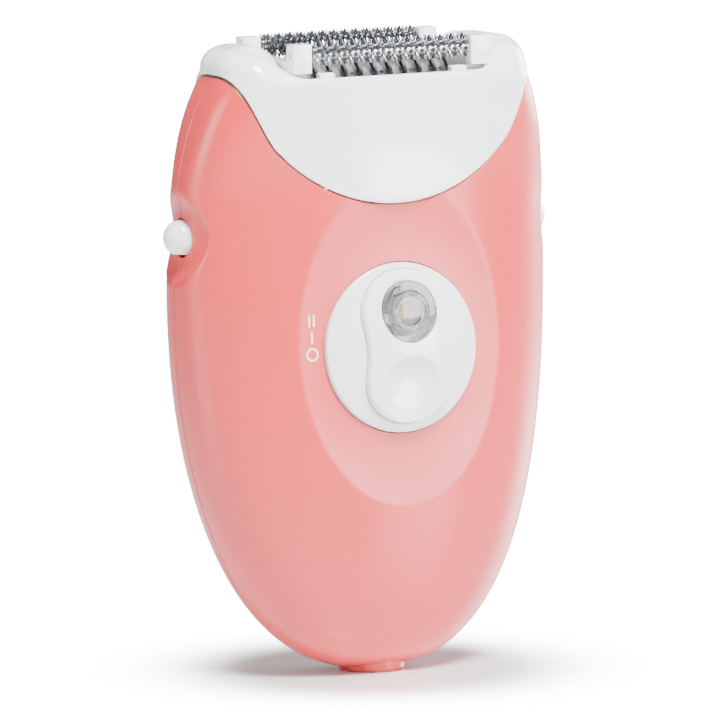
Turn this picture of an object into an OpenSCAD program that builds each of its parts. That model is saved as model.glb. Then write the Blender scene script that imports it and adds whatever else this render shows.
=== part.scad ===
// Hand-held epilator: an egg-shaped two-part grip with a turning switch dial, two side release
// buttons and a lift-off head that carries two massage rollers and a tweezer drum.
// Millimetres, +Z up, the front faces -Y. The origin is the centre of the foot ring it stands on.

/* [Grip] */
// Full width of the grip at its widest level
grip_w = 74; // [72:0.2:78]
// Height of the widest level above the foot
widest_z = 76.6; // [74:0.2:79]
// Depth of the front half below the dial, from the parting line
front_depth = 18.7; // [18:0.1:20]
// Depth of the rear half, from the parting line
rear_depth = 15.5; // [15:0.1:17]
// Wall thickness of the grip shells and the head cap
wall = 1.8; // [1.6:0.1:2.0]
// How squarely each level of the grip is rounded, 2 is an ellipse
section_n = 2.3; // [2.1:0.05:2.5]

/* [Foot] */
// Outer radius of the foot ring round the power inlet
foot_r = 6.0; // [5.6:0.1:6.2]
// Radius of the inlet recess
inlet_r = 4.6; // [4.4:0.1:4.7]
// Depth of the inlet recess
inlet_depth = 3; // [2.6:0.1:3.4]
// Radius of each contact bore
contact_r = 0.9; // [0.8:0.05:0.95]

/* [Switch dial] */
// Radius of the dial
dial_r = 15.2; // [15:0.1:15.5]
// Height of the dial's centre
dial_z = 59.4; // [58.5:0.1:60]
// How far the dial leans back to follow the front
dial_tilt = 4; // [3:0.5:5]
// Rise of the dial's dome over its rim
dome_rise = 3; // [2.6:0.1:3.2]

/* [Head] */
// Height of the front rim of the head opening
rim_z = 108.2; // [107.8:0.1:108.4]
// Height of the two shoulders
shoulder_z = 113.9; // [113.6:0.1:114.2]
// Height of the roller axles
roller_z = 112.4; // [112.2:0.1:112.5]
// Distance of each roller axle from the head's middle
roller_gap = 9.5; // [9.4:0.1:9.6]
// Radius over the studs of a massage roller
roller_r = 2.3; // [2.1:0.1:2.4]
// Radius over the tweezer discs
tweezer_r = 7.2; // [6.8:0.1:7.2]
// Number of tweezer pairs on the drum
tweezer_pairs = 10; // [8:1:10]

/* [Gears] */
// Module of the spur gears
spur_m = 0.8; // [0.8]
// Module of the crown gear and the motor pinion
crown_m = 0.6; // [0.6]

/* [Hidden] */
$fn = 48;

coral = "#F09A94";
white = "#F2F1EF";

// Clearances: a press or bond line, a running fit, and a gap between mouldings.
seat = 0.1;
run = 0.05;
gap = 0.3;
seam = 0.02;

// Grip form. Every level is a rounded oval about a parting line that bows to the rear.
grip_bottom = 0.4;
shell_top = 109.4;
egg_p = 2.42;
crown_h = 47.9;
mid_y = 5;
bow = 0.0014;
bow_z = 60;
belly_z = 50.8;
hip_z = 64.4;
front_top = 13.3;
rear_top = 12.4;
form_top = 112;
square_more = 0.8;
around = 28;
levels = 32;
level_p = 1.4;

// Thumb dish round the dial, and the finger scallops round the release buttons.
dish_w = 20.5;
dish_h = 29;
dish_z = 60;
dish_d = 1.5;
scallop_r = 7.8;
scallop_d = 1.5;
button_z = 79.6;

function egg(u) = pow(max(0, 1 - pow(max(0, u), egg_p)), 1 / egg_p);
function ease(u) = let (v = min(1, max(0, u))) v * v * (3 - 2 * v);
function spow(v, e) = sign(v) * pow(abs(v), e);
function half_w(z) = grip_w / 2 * (z < widest_z
    ? egg((widest_z - z) / (widest_z - grip_bottom)) : egg((z - widest_z) / crown_h));
// The levels grow squarer towards the head.
function level_n(z) = section_n + square_more * ease((z - 85) / 22);
function bow_y(z) = mid_y - bow * pow(z - bow_z, 2);
function swell(z, deep, top, at) = z < at
    ? deep * egg((at - z) / (at - grip_bottom))
    : top + (deep - top) * (1 + cos(180 * min(1, (z - at) / (form_top - at)))) / 2;
function front_d(z) = swell(z, front_depth, front_top, belly_z);
function rear_d(z) = swell(z, rear_depth, rear_top, hip_z);
function dish(x, z) =
    let (q = pow(x / dish_w, 2) + pow((z - dish_z) / dish_h, 2)) dish_d * (1 - min(1, q * q));
function scallop(y, z) =
    let (q = (pow(y - bow_y(z), 2) + pow(z - button_z, 2)) / pow(scallop_r, 2))
    scallop_d * (1 - min(1, q));

// A point of the grip's skin: t runs round the level from +X, inset is the depth under it.
function oval(t, z, inset, w, n) = [
    (w - inset) * spow(cos(t), 2 / n),
    ((sin(t) > 0 ? rear_d(z) : front_d(z)) - inset) * spow(sin(t), 2 / n)
];
function skin(t, z, inset) =
    let (p = oval(t, z, inset, half_w(z), level_n(z)), y = bow_y(z) + p[1])
    [p[0] - sign(p[0]) * scallop(y, z), y + (p[1] < 0 ? dish(p[0], z) : 0), z];

function level(j) = grip_bottom + 0.2 + (shell_top - grip_bottom - 0.2) * pow(j / levels, level_p);
function inner_level(j) = shell_top - (shell_top - level(j)) * (shell_top - grip_bottom - 0.2 - wall)
    / (shell_top - grip_bottom - 0.2);

// Two triangles for each cell of a grid of rows of n points, turned round when flip is true.
function cells(rows, n, from, flip) = [
    for (j = [0:rows - 1]) for (i = [0:n - 2])
        let (a = from + j * n + i, b = a + 1, c = a + n, d = c + 1)
        for (f = [[a, c, d], [a, d, b]]) flip ? [f[0], f[2], f[1]] : f
];
// A strip between two lists of point numbers.
function strip(p, q) = [
    for (i = [0:len(p) - 2]) for (f = [[p[i], p[i + 1], q[i + 1]], [p[i], q[i + 1], q[i]]]) f
];

// One half of the grip as a hollow moulding, from t0 half way round.
module half_shell(t0) {
    n = around + 1;
    inner_from = n * (levels + 1);
    points = concat(
        [for (j = [0:levels]) for (i = [0:around]) skin(t0 + 180 * i / around, level(j), 0)],
        [for (j = [0:levels]) for (i = [0:around])
            skin(t0 + 180 * i / around, inner_level(j), wall)]);
    start = [for (j = [0:levels]) j * n];
    end = [for (j = [0:levels]) j * n + around];
    top = [for (i = [0:around]) levels * n + i];
    faces = concat(
        cells(levels, n, 0, false),
        cells(levels, n, inner_from, true),
        strip([for (k = start) k + inner_from], start),
        strip(end, [for (k = end) k + inner_from]),
        strip([for (k = top) k + inner_from], top),
        [[for (i = [0:around]) i]],
        [[for (i = [around:-1:0]) inner_from + i]],
        [[0, inner_from, inner_from + around, around]]);
    translate([0, (t0 > 0 ? -1 : 1) * seam, 0]) polyhedron(points, faces, convexity = 8);
}

// Edge of the head cap seen from the front: a round tongue that sweeps out to the sides.
tongue_z = 85.2;
tongue_r = 31.7;
tongue_x = 22.9;
horn_x = 33.9;
horn_z = 111;
horn_p = 1.31;
valley_x = 14;
shoulder_x = 25;
cap_x = 32.5;

function tongue(x) = tongue_z + tongue_r - sqrt(pow(tongue_r, 2) - pow(x, 2));
function cap_low(x) = abs(x) < tongue_x ? tongue(x)
    : tongue(tongue_x) + (horn_z - tongue(tongue_x))
        * sin(90 * pow(min(1, (abs(x) - tongue_x) / (horn_x - tongue_x)), horn_p));
function cap_high(x) = abs(x) < shoulder_x
    ? rim_z + (shoulder_z - rim_z) * ease((abs(x) - valley_x) / (shoulder_x - valley_x))
    : shoulder_z - 6 * (1 - sqrt(max(0, 1 - pow((abs(x) - shoulder_x) / 9.5, 2))));

// The part of the front view above the edge line, moved down by drop.
module above_edge(drop, roof) {
    xs = [for (i = [-36:36]) cap_x * i / 36];
    polygon(concat([for (x = xs) [x, cap_low(x) - drop]], [[cap_x, roof], [-cap_x, roof]]));
}
module cap_outline() {
    xs = [for (i = [-36:36]) cap_x * i / 36];
    polygon(concat([for (x = xs) [x, cap_low(x)]], [for (i = [72:-1:0]) [xs[i], cap_high(xs[i])]]));
}
// The hollow of the cap seen from the front, 1.5 mm below its top edge.
module below_roof() {
    xs = [for (i = [-36:36]) cap_x * i / 36];
    polygon(concat([for (x = xs) [x, cap_high(x) - 1.5]], [[cap_x, 70], [-cap_x, 70]]));
}
// Extrudes a front-view outline right through the grip, along Y.
module through_y() {
    translate([0, 40, 0]) rotate([90, 0, 0]) linear_extrude(80) children();
}
module along_x(x0, x1, y, z, r) {
    translate([x0, y, z]) rotate([0, 90, 0]) cylinder(r = r, h = x1 - x0);
}
module block(x0, x1, y0, y1, z0, z1) {
    translate([x0, y0, z0]) cube([x1 - x0, y1 - y0, z1 - z0]);
}
// Places children on the dial's axis: their Z is the outward normal of the dial.
module on_dial() {
    translate([0, dial_y, dial_z]) rotate([90 - dial_tilt, 0, 0]) children();
}

dial_y = -12.2;
button_r = 3.3;
button_x = 35.4;
rib_z = [24, 38, 54, 70];

// Small ribs that line one shell up with the other, reaching side_y from the parting line.
module rib_set(side) {
    for (z = rib_z, s = [-1, 1])
        hull() {
            translate([s * (half_w(z) - 2.6), bow_y(z) + side * 4, z]) cube([2.4, 1, 2], center = true);
            translate([s * (half_w(z) - 2.8), bow_y(z) + side * 0.9, z]) cube([1.4, 1, 2], center = true);
        }
}
module shell_cuts() {
    through_y() above_edge(0.25, 130);
    translate([0, 0, -1]) cylinder(r = foot_r + seat, h = 12);
    for (s = [-1, 1])
        translate([s * button_x, bow_y(button_z), button_z]) rotate([0, 90, 0])
            cylinder(r = button_r + gap, h = 12, center = true);
}
module front_shell() {
    color(coral) difference() {
        union() {
            half_shell(180);
            rib_set(-1);
        }
        shell_cuts();
        on_dial() cylinder(r = dial_r + gap, h = 12, center = true, $fn = 72);
    }
}
module rear_shell() {
    color(coral) difference() {
        union() {
            half_shell(0);
            rib_set(1);
        }
        shell_cuts();
    }
}

// Foot and power inlet.
ring_h = 4.4;
block_top = 12;
nose_r = 5.2;
contact_x = 2.2;
sleeve_r = 1.35;
sleeve_len = 8;
module foot_ring() {
    color(coral) difference() {
        cylinder(r = foot_r, h = ring_h);
        translate([0, 0, -1]) cylinder(r = inlet_r, h = ring_h);
        translate([0, 0, inlet_depth]) cylinder(r = nose_r, h = ring_h);
    }
}
module socket_block() {
    color("#3A3A3C") difference() {
        union() {
            translate([0, 0, inlet_depth]) cylinder(r = nose_r, h = ring_h - inlet_depth);
            translate([0, 0, ring_h]) cylinder(r = foot_r - 0.4, h = block_top - ring_h);
        }
        for (s = [-1, 1]) translate([s * contact_x, 0, 0]) cylinder(r = sleeve_r, h = block_top - 1);
    }
}
module contact_sleeves() {
    color("#C9A24B") for (s = [-1, 1]) translate([s * contact_x, 0, inlet_depth]) difference() {
        cylinder(r = sleeve_r, h = sleeve_len);
        translate([0, 0, -1]) cylinder(r = contact_r, h = sleeve_len + 1);
    }
}

// Circuit board behind the dial, with the lamp and the switch.
board_y = -6.4;
board_t = 1.2;
board_x = 12;
board_z0 = 35;
board_z1 = 74;
lamp_r = 2.5;
lamp_swing = 10;
window_up = 6.5;
spindle_r = 1.6;
module socket_leads() {
    rise = board_z0 - block_top;
    lean = atan2(-board_y - 0.2, rise);
    color("#B8322E") for (s = [-1, 1]) translate([s * contact_x, 0, block_top + 0.4]) rotate([lean, 0, 0])
        cylinder(r = 0.6, h = rise / cos(lean) - 1);
}
module circuit_board() {
    color("#3F6B48") difference() {
        block(-board_x, board_x, board_y - board_t / 2, board_y + board_t / 2, board_z0, board_z1);
        on_dial() translate([0, 0, -9]) cylinder(r = spindle_r + gap, h = 6);
    }
}
module board_parts() {
    front = board_y - board_t / 2;
    color("#2B2B2D") {
        block(-9.5, -3.5, front - 2.4, front, 45, 50);
        block(4, 10, front - 1.6, front, 38, 43);
        block(-2.5, 2.5, front - 1.4, front, 37, 41);
        for (s = [-1, 1]) translate([s * 7, board_y + board_t / 2, 37.9]) rotate([-90, 0, 0])
            cylinder(r = 2.5, h = 5);
    }
}
module led() {
    color("#EDEFE8", 0.6) on_dial() rotate(-lamp_swing) translate([0, window_up, 0]) {
        for (s = [-1, 1]) translate([s * 1.27, 0, -4.65]) cylinder(r = 0.25, h = 0.5);
        translate([0, 0, -4.3]) cylinder(r = lamp_r + 0.4, h = 1);
        translate([0, 0, -4.3]) cylinder(r = lamp_r, h = 4);
        translate([0, 0, -0.3]) intersection() {
            sphere(r = lamp_r);
            cylinder(r = 3, h = 3);
        }
    }
}

// Switch dial: a domed disc with a raised insert that holds the thumb hollow and the lamp window.
dome_R = (pow(dial_r, 2) + pow(dome_rise, 2)) / (2 * dome_rise);
insert_r = 8.9;
insert_half = 13.6;
insert_rise = 1.2;
waist_cut = 0.6;
waist_r = 22;
thumb_down = 7.6;
thumb_r = 6.2;
thumb_depth = 1.3;
window_r = 5.6;
lamp_hole_r = 4.3;
module insert_outline() {
    lobe = insert_half - insert_r;
    difference() {
        union() {
            for (s = [-1, 1]) translate([0, s * lobe]) circle(r = insert_r, $fn = 72);
            square([2 * insert_r, 2 * lobe], center = true);
        }
        translate([waist_cut - insert_r - waist_r, 0]) circle(r = waist_r, $fn = 144);
    }
}
module dome_shape(lift, r) {
    intersection() {
        cylinder(r = r, h = 12, $fn = 120);
        translate([0, 0, dome_rise - dome_R]) sphere(r = dome_R + lift, $fn = 200);
    }
}
module switch_dial() {
    color(white) on_dial() difference() {
        union() {
            difference() {
                union() {
                    dome_shape(0, dial_r);
                    translate([0, 0, -2]) cylinder(r = dial_r, h = 2, $fn = 120);
                }
                translate([0, 0, -3]) cylinder(r = dial_r - 1.6, h = 2.4);
            }
            translate([0, 0, -2]) cylinder(r = spindle_r + 1.2, h = 2);
        }
        translate([0, window_up, 0.2]) cylinder(r = window_r + 0.05, h = 12);
        translate([0, window_up, -4]) cylinder(r = lamp_hole_r + 0.2, h = 6);
        translate([0, 0, -4]) cylinder(r = spindle_r, h = 4);
    }
}
module dial_insert() {
    thumb_R = (pow(thumb_r, 2) + pow(thumb_depth, 2)) / (2 * thumb_depth);
    color("#F4F3F1") on_dial() difference() {
        intersection() {
            linear_extrude(8) insert_outline();
            difference() {
                dome_shape(insert_rise, dial_r);
                translate([0, 0, dome_rise - dome_R]) sphere(r = dome_R, $fn = 200);
            }
        }
        translate([0, -thumb_down, dome_rise + insert_rise - 0.7 - thumb_depth + thumb_R])
            sphere(r = thumb_R, $fn = 120);
        translate([0, window_up, -1]) cylinder(r = window_r, h = 12);
    }
}
module led_window() {
    color("#F6F8F8", 0.4) on_dial() translate([0, window_up, 0]) difference() {
        union() {
            translate([0, 0, 0.2]) cylinder(r = window_r - 0.05, h = 2.6);
            translate([0, 0, 2.8]) intersection() {
                translate([0, 0, -8.1]) sphere(r = 9.85);
                cylinder(r = window_r - 0.05, h = 4);
            }
        }
        translate([0, 0, -1]) cylinder(r = lamp_hole_r, h = 3.6);
    }
}
module dial_spindle() {
    color("#D8D6D2") on_dial() difference() {
        union() {
            translate([0, 0, -6.8]) cylinder(r = spindle_r, h = 6.8);
            translate([0, 0, -3.4]) cylinder(r = 3.2, h = 1.2);
            translate([-1.2, -9, -3.4]) cube([2.4, 7, 1.2]);
        }
        translate([0, 0, -8]) cylinder(r = 0.6, h = 4);
    }
}

// Release buttons: a dome in each scallop, a stem, and a latch arm that stands behind it.
button_travel = 1.5;
arm_x = 28.8;
arm_t = 1.2;
hook_x = 25.4;
hook_y = 3.5;
leg_x = 27;
spring_x0 = 24.5;
module release_button(s) {
    y = bow_y(button_z);
    color(white) intersection() {
        union() {
            translate([s * button_x, y, button_z]) sphere(r = button_r);
            translate([s * (arm_x + button_x) / 2, y, button_z]) rotate([0, 90, 0])
                cylinder(r = button_r, h = button_x - arm_x, center = true);
            translate([s * (arm_x + arm_t / 2), y, 81.5]) cube([arm_t, 6, 9], center = true);
            translate([s * (hook_x + arm_x + arm_t) / 2, hook_y, 85.25])
                cube([arm_x + arm_t - hook_x, 4, 1.5], center = true);
            translate([s * (hook_x + 0.5), hook_y, 87.75]) cube([1, 4, 6.5], center = true);
            translate([s * (hook_x + 0.65), hook_y, 90.4]) cube([1.3, 4, 1.2], center = true);
        }
        translate([s * (hook_x + 8), y, 84]) cube([16, 8, 14.4], center = true);
    }
}
module button_spring(s) {
    turns = 5;
    pitch = (arm_x - spring_x0 - 0.5) / (turns - 1);
    color("#B9BCC0") for (i = [0:turns - 1])
        translate([s * (spring_x0 + 0.25 + i * pitch), bow_y(button_z), button_z]) rotate([0, 90, 0])
            rotate_extrude() translate([1.6, 0]) circle(r = 0.22, $fn = 16);
}

// Involute spur gears. thick is the share of the pitch that a tooth fills at the pitch line.
pressure = 20;
function inv(a) = tan(a) * 180 / PI - a;
function flank(teeth, m, thick, r) =
    let (rp = teeth * m / 2, rb = rp * cos(pressure), a = r > rb ? acos(rb / r) : 0)
    thick * 180 / teeth + inv(pressure) - inv(a);
function tooth_radii(teeth, m) =
    let (rp = teeth * m / 2) [rp - 1.15 * m, max(rp * cos(pressure), rp - 0.85 * m), rp - 0.3 * m, rp, rp + 0.4 * m, rp + 0.8 * m];
module gear_outline(teeth, m, thick) {
    radii = tooth_radii(teeth, m);
    step = 360 / teeth;
    polygon([for (i = [0:teeth - 1], k = [0:11])
        let (up = k < 6, r = radii[up ? k : 11 - k], a = i * step + (up ? -1 : 1) * flank(teeth, m, thick, r))
        r * [cos(a), sin(a)]]);
}
// A spur gear on an axis along X. turn is where its first tooth points, from +Y towards +Z.
module spur_along_x(x0, x1, y, z, teeth, m, bore_r, turn) {
    translate([x0, y, z]) rotate([90, 0, 90]) linear_extrude(x1 - x0) difference() {
        rotate(turn) gear_outline(teeth, m, tooth_fill);
        circle(r = bore_r);
    }
}

tooth_fill = 0.42;
crown_fill = 0.38;
head_y = 1.5;
drum_z = 104.6;
drum_teeth = 12;
idler_teeth = 14;
transfer_teeth = 12;
crown_teeth = 28;
pinion_teeth = 10;
motor_y = 5;
crown_z = 84;
// Direction from the crown axle up to the drum; all three gears lie on it.
train_lean = atan2(drum_z - crown_z, head_y - motor_y);
reach_1 = spur_m * (transfer_teeth + idler_teeth) / 2;
idler_y = motor_y + reach_1 * cos(train_lean);
idler_z = crown_z + reach_1 * sin(train_lean);
gear_x0 = 20.3;
gear_x1 = 22.5;
half_tooth_drum = 180 / drum_teeth;

// Crown gear: teeth on the face of a disc, in mesh with the pinion of the upright motor.
pinion_r = pinion_teeth * crown_m / 2;
crown_R = crown_teeth * crown_m / 2;
crown_face = pinion_r + 1.15 * crown_m;
crown_in = 7.5;
crown_out = 9.3;
module crown_tooth() {
    pitch = 2 * PI * crown_R / crown_teeth;
    tip_x = pinion_r - 0.75 * crown_m;
    root_x = crown_face + 0.3;
    tip = crown_fill * pitch / 2 - 0.75 * crown_m * tan(pressure);
    root = tip + (root_x - tip_x) * tan(pressure);
    translate([0, 0, crown_in]) linear_extrude(crown_out - crown_in)
        polygon([[tip_x, -tip], [root_x, -root], [root_x, root], [tip_x, tip]]);
}
module crown_gear() {
    color("#E9E4D6") difference() {
        union() {
            translate([0, motor_y, crown_z]) for (i = [0:crown_teeth - 1])
                rotate([180 + 360 / crown_teeth * (i + 0.5), 0, 0]) crown_tooth();
            along_x(crown_face, crown_face + 1.7, motor_y, crown_z, crown_out + 0.1);
            along_x(crown_face + 1.7, 7.2, motor_y, crown_z, 2.6);
        }
        along_x(crown_face - 1, 9, motor_y, crown_z, axle_r);
    }
}
axle_r = 1;
wall_a = [7.6, 9.6];
wall_b = [16.6, 18.6];
wall_top = 98;
module crown_axle() {
    color("silver") along_x(crown_face, gear_x1 + 0.4, motor_y, crown_z, axle_r);
}
module transfer_pinion() {
    color("#E9E4D6") spur_along_x(gear_x0, gear_x1, motor_y, crown_z, transfer_teeth, spur_m, axle_r,
        train_lean + 180 / transfer_teeth);
}
module idler_pin() {
    color("silver") {
        along_x(wall_b[0], gear_x1 + 0.2, idler_y, idler_z, axle_r);
        along_x(gear_x1 + 0.2, gear_x1 + 0.6, idler_y, idler_z, 1.8);
    }
}
module idler_gear() {
    color("#E9E4D6") {
        spur_along_x(gear_x0, gear_x1, idler_y, idler_z, idler_teeth, spur_m, axle_r + run, train_lean);
    }
}
module chassis_bushes() {
    color("#B08D57") for (w = [wall_a, wall_b]) difference() {
        along_x(w[0], w[1], motor_y, crown_z, 2);
        along_x(w[0] - 1, w[1] + 1, motor_y, crown_z, axle_r + run);
    }
}

// Motor: a steel can with its bushes, magnets and armature, standing upright in the grip.
can_r = 10;
can_z0 = 43;
can_z1 = 70;
can_wall = 0.9;
boss_r = 3;
shaft_r = 1;
module motor_can() {
    color("#A9ACB0") translate([0, motor_y, 0]) difference() {
        union() {
            translate([0, 0, can_z0]) cylinder(r = can_r, h = can_z1 - can_z0);
            translate([0, 0, can_z1]) cylinder(r = boss_r, h = 1.4);
        }
        translate([0, 0, can_z0 - 1]) cylinder(r = can_r - can_wall, h = can_z1 - can_z0 + 1 - can_wall);
        translate([0, 0, can_z1 - 2]) cylinder(r = 2, h = 5);
        for (s = [-1, 1]) translate([s * screw_off, 0, can_z1 - 3]) cylinder(r = 0.95, h = 5);
    }
}
module motor_end_cap() {
    color("#2F2F31") translate([0, motor_y, 0]) difference() {
        union() {
            translate([0, 0, can_z0 - 2]) cylinder(r = can_r, h = 2);
            translate([0, 0, can_z0]) cylinder(r = can_r - can_wall, h = 2);
        }
        translate([0, 0, can_z0 - 1]) cylinder(r = 2, h = 8);
        for (s = [-1, 1]) translate([s * 6, 0, can_z0 - 1]) cube([0.6, 2.4, 8], center = true);
    }
}
module motor_magnets() {
    color("#4B4B4E") translate([0, motor_y, 49]) intersection() {
        difference() {
            cylinder(r = can_r - can_wall - 0.02, h = 17);
            translate([0, 0, -1]) cylinder(r = 7.2, h = 19);
        }
        for (s = [-1, 1]) translate([s * 8, 0, 8.5]) cube([9, 11, 20], center = true);
    }
}
module motor_bushes() {
    color("#B08D57") for (z = [can_z0 - 1, can_z1 - 1.6]) translate([0, motor_y, z]) difference() {
        cylinder(r = 2, h = 3);
        translate([0, 0, -1]) cylinder(r = shaft_r + run, h = 5);
    }
}
module motor_terminals() {
    color("#C9A24B") for (s = [-1, 1]) translate([s * 6, motor_y, can_z0 - 2]) cube([0.6, 2.4, 6], center = true);
}
module motor_armature() {
    color("#9A5B35") translate([0, motor_y, 50]) difference() {
        union() {
            cylinder(r = 6.6, h = 14);
            translate([0, 0, -3.6]) cylinder(r = 2.4, h = 3.6);
        }
        translate([0, 0, -5]) cylinder(r = shaft_r, h = 22);
    }
}
module motor_shaft() {
    color("silver") translate([0, motor_y, can_z0]) cylinder(r = shaft_r, h = 77.2 - can_z0);
}
module motor_pinion() {
    color("#D9B45A") translate([0, motor_y, 74.2]) linear_extrude(2.8) difference() {
        gear_outline(pinion_teeth, crown_m, tooth_fill);
        circle(r = shaft_r);
    }
}

// Chassis: carries the motor, the gear pins and the deck that the head sits on.
plate_z = [70, 71.8];
deck_z = [93.8, 95];
deck_x = 24.4;
post_t = 1.8;
seat_top = 83.5;
deck_y = [-4.4, 11];
screw_off = 5.4;
module gear_chassis() {
    color("#DAD8D3") difference() {
        union() {
            block(-deck_x, deck_x, -2.5, 13, plate_z[0], plate_z[1]);
            block(wall_a[0], wall_a[1], 0, 10, plate_z[1], deck_z[0]);
            block(wall_b[0], wall_b[1], -2, 11, plate_z[1], wall_top);
            block(-deck_x, deck_x, deck_y[0], deck_y[1], deck_z[0], deck_z[1]);
            for (x = [-deck_x, deck_x - post_t]) {
                block(x, x + post_t, -2.5, 9, plate_z[0], seat_top);
                block(x, x + post_t, -2.5, 0.5, plate_z[0], deck_z[0]);
            }
        }
        translate([0, motor_y, 60]) cylinder(r = boss_r + seat, h = 20);
        for (s = [-1, 1]) translate([s * screw_off, motor_y, 60]) cylinder(r = 1.05, h = 20);
        block(wall_b[1], gear_x1 + 0.9, idler_y - 6.7, idler_y + 6.7, deck_z[0] - 12, deck_z[1] + 1);
        for (w = [wall_a, wall_b]) along_x(w[0] - 1, w[1] + 1, motor_y, crown_z, 2);
        along_x(wall_b[0] - 1, wall_b[1] + 1, idler_y, idler_z, axle_r);
    }
}
module screw(length, head_r) {
    difference() {
        cylinder(r = head_r, h = 1.3);
        translate([0, 0, 0.6]) for (a = [0, 90]) rotate(a) cube([head_r * 1.3, 0.5, 1.6], center = true);
    }
    translate([0, 0, -length]) cylinder(r = 0.9, h = length);
}
module chassis_screws() {
    color("silver") for (s = [-1, 1]) translate([s * screw_off, motor_y, plate_z[1]]) screw(3.4, 1.8);
}

// Head: a cap moulding, the carrier with its two end plates, and everything that turns in it.
window_x = 20.4;
window_y = [head_y - 11.3, head_y + 11.3];
function cap_w(z) = half_w(min(z, 109)) + 0.25;
function cap_skin(t, z, inset) =
    let (p = oval(t, z, inset - 0.25, cap_w(z), level_n(z))) [p[0], bow_y(z) + p[1], z];
module cap_loft(inset, z0, z1) {
    n = 72;
    rows = 12;
    points = [for (j = [0:rows]) for (i = [0:n]) cap_skin(360 * i / n, z0 + (z1 - z0) * j / rows, inset)];
    ring = [for (j = [0:rows]) for (i = [0:n - 1]) points[j * (n + 1) + i]];
    side = [for (j = [0:rows - 1]) for (i = [0:n - 1])
        let (a = j * n + i, b = j * n + (i + 1) % n, c = a + n, d = b + n) for (f = [[a, c, d], [a, d, b]]) f];
    polyhedron(ring, concat(side, [[for (i = [0:n - 1]) i]], [[for (i = [n - 1:-1:0]) rows * n + i]]), convexity = 6);
}
module head_cap() {
    color(white) difference() {
        intersection() {
            cap_loft(0, 82, 115);
            through_y() cap_outline();
        }
        intersection() {
            cap_loft(wall, 81, 115);
            through_y() below_roof();
        }
        block(-window_x, window_x, window_y[0], window_y[1], 90, 120);
    }
}
plate_in = 16.2;
plate_out = 19.8;
floor_z = [95.2, 96.6];
arm_top = 114.2;
lug_x = 10;
module roller_carrier() {
    color(white) difference() {
        union() {
            block(-24.5, 24.5, -5.5, 10.8, floor_z[0], floor_z[1]);
            for (s = [-1, 1]) {
                x0 = s > 0 ? plate_in : -plate_out;
                x1 = s > 0 ? plate_out : -plate_in;
                block(x0, x1, head_y - 9, head_y + 9, floor_z[1] - 0.1, 111.1);
                for (k = [-1, 1]) {
                    y = head_y + k * roller_gap;
                    block(x0, x1, y - 1.4, y + 1.4, 109, arm_top);
                }
                leg = s > 0 ? [leg_x, leg_x + 1] : [-leg_x - 1, -leg_x];
                block(leg[0], leg[1], 1.2, 4.8, 88, floor_z[1]);
                block(min(s * 24, leg[1]), max(s * 24, leg[0]), 1.2, 4.8, floor_z[0], floor_z[1]);
                block(s * lug_x - 2, s * lug_x + 2, -8.5, -5, floor_z[0], floor_z[1]);
                block(s * lug_x - 2, s * lug_x + 2, 10, 13.9, floor_z[0], floor_z[1]);
            }
        }
        block(gear_x0 - 0.4, gear_x1 + 1.3, idler_y - 6.7, idler_y + 6.7, 90, 100);
        block(-15.9, 15.9, head_y - 7.6, head_y + 7.6, 90, 100);
        block(wall_b[0] - 0.3, wall_b[1] + 0.3, -2.3, 11.3, 90, wall_top + 0.3);
        block(wall_b[0], gear_x0, idler_y - 1.4, idler_y + 1.4, 90, idler_z + 1.5);
        along_x(-22, 22, head_y, drum_z, 2.2);
        for (k = [-1, 1]) along_x(-22, 22, head_y + k * roller_gap, roller_z, 0.6);
    }
}
module drum_bushes() {
    color("#B08D57") for (s = [-1, 1]) difference() {
        along_x(s > 0 ? plate_in : -plate_out, s > 0 ? plate_out : -plate_in, head_y, drum_z, 2.2);
        along_x(-24, 24, head_y, drum_z, drum_axle_r + run);
    }
}
module roller_axle(k) {
    color("silver") along_x(-plate_out + 0.2, plate_out - 0.2, head_y + k * roller_gap, roller_z, 0.6);
}
roller_half = 15.8;
stud_rows = 16;
module massage_roller(k) {
    core = roller_r - 0.75;
    step = 2 * roller_half / stud_rows;
    color("#D5D8DB") translate([0, head_y + k * roller_gap, roller_z]) rotate([0, 90, 0]) rotate_extrude()
        polygon(concat([[0.6 + run, -roller_half], [core, -roller_half]],
            [for (i = [0:stud_rows - 1], q = [0.2, 0.4, 0.6, 0.8])
                [q == 0.4 || q == 0.6 ? roller_r : core, -roller_half + (i + q) * step]],
            [[core, roller_half], [0.6 + run, roller_half]]));
}

// Tweezer drum: a grooved core with fixed discs, and discs that slide on rods to meet them.
drum_half = 15;
core_r = 5.2;
drum_axle_r = 1.2;
disc_t = 0.5;
disc_open = 0.65;
rods = 4;
rod_r = 0.5;
rod_at = 4.3;
disc_step = 2 * drum_half / tweezer_pairs;
function disc_x(i) = -drum_half + (i + 0.35) * disc_step;
module drum_core() {
    color("#BDBDBB") difference() {
        union() for (i = [0:tweezer_pairs]) {
            x0 = i == 0 ? -drum_half : disc_x(i - 1) + 1.75;
            x1 = i == tweezer_pairs ? drum_half : disc_x(i);
            along_x(x0, x1, head_y, drum_z, core_r);
            if (i < tweezer_pairs) along_x(disc_x(i), disc_x(i) + 1.75, head_y, drum_z, 3.2);
        }
        along_x(-24, 24, head_y, drum_z, drum_axle_r);
        for (a = [0:rods - 1]) rod_line(a, rod_r + 0.12);
    }
}
module rod_line(a, r) {
    turn = 45 + 90 * a;
    along_x(-drum_half - 1, drum_half + 1, head_y + rod_at * cos(turn), drum_z + rod_at * sin(turn), r);
}
module disc_outline(r) {
    difference() {
        circle(r = r);
        for (a = [0:3]) rotate(90 * a) translate([r + 1.1, 0]) circle(r = 2.1);
    }
}
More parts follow.
